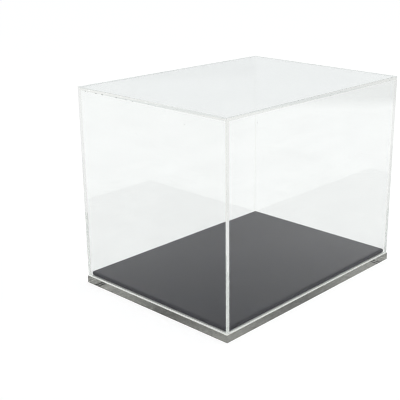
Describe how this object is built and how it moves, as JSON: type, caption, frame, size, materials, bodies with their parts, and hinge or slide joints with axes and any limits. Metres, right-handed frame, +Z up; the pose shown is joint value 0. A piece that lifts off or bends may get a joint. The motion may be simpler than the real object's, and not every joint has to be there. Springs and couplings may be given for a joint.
{
  "type": "helmet display case",
  "caption": "Clear rectangular display case for a collector's helmet: a lift-off cover of cemented clear sheets stands on a clear base plate, around a black plinth board.",
  "frame": {"origin": "middle of the base plate's underside", "axes": "+X along the long side of the case, -Y out of the front, +Z up"},
  "size_m": [0.2714, 0.2036, 0.2125],
  "materials": {
    "clear_sheet": "clear cast acrylic sheet, polished faces and edges",
    "clear_slab": "clear cast acrylic slab, polished edges",
    "black_board": "black, fine matte, with a rounded top edge",
    "adhesive": "pale double-sided mounting film, 1 mm"
  },
  "bodies": {
    "base": {"base_plate": "clear_slab", "adhesive_film": "adhesive", "plinth_board": "black_board"},
    "cover": {"front_wall": "clear_sheet", "back_wall": "clear_sheet", "left_wall": "clear_sheet", "right_wall": "clear_sheet", "top_sheet": "clear_sheet"}
  },
  "joints": [
    {"name": "cover_lift", "type": "slide", "parent": "base", "child": "cover", "axis": [0, 0, 1], "range_m": [0, 0.22]}
  ]
}
